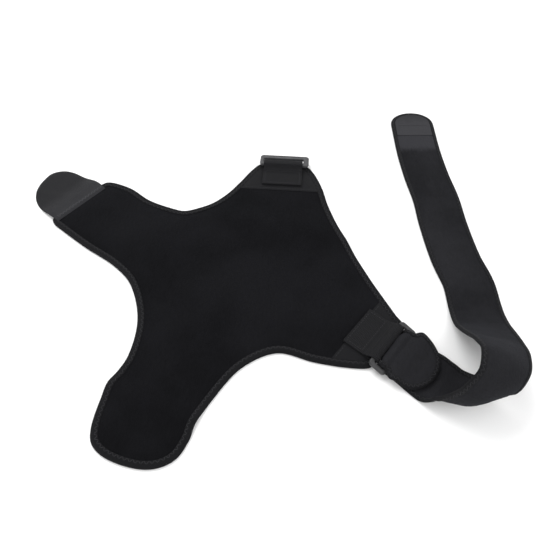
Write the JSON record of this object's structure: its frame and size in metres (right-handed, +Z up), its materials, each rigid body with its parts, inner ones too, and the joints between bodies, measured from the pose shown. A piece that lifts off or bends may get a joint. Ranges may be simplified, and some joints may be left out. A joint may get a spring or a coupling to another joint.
{
  "type": "shoulder brace",
  "caption": "Soft black shoulder brace laid flat, with a bound four-lobed panel, webbing loops and a turned strap held by one loop.",
  "frame": {"origin": "centre of the bounding box at its bottom, on the floor that the brace lies on", "axes": "+Z up from the floor; +Y along the front lobe towards its empty loop; +X to the right, towards the strap"},
  "size_m": [0.541, 0.5, 0.0716],
  "materials": {
    "plush": "brushed loop pile",
    "strap_plush": "brushed loop pile",
    "edge_tape": "woven edge tape with stitching",
    "patch_cloth": "smooth knit",
    "hook_tab": "smooth hook-side tape",
    "webbing": "ribbed webbing",
    "loop_plastic": "fine satin"
  },
  "bodies": {
    "brace": {"shoulder_panel": "plush", "panel_binding": "edge_tape", "arm_tab": "hook_tab", "front_patch": "patch_cloth", "back_patch": "patch_cloth", "front_webbing": "webbing", "back_webbing": "webbing", "back_loop": "loop_plastic", "strap": "strap_plush", "strap_binding": "edge_tape", "strap_tab": "hook_tab"},
    "loop": {"front_loop": "loop_plastic"}
  },
  "joints": [
    {"name": "front_loop_swing", "type": "hinge", "parent": "brace", "child": "loop", "pos_m": [0.0277, 0.13022, 0.0102], "axis": [1, 0, 0], "range_deg": [-10, 182]}
  ]
}
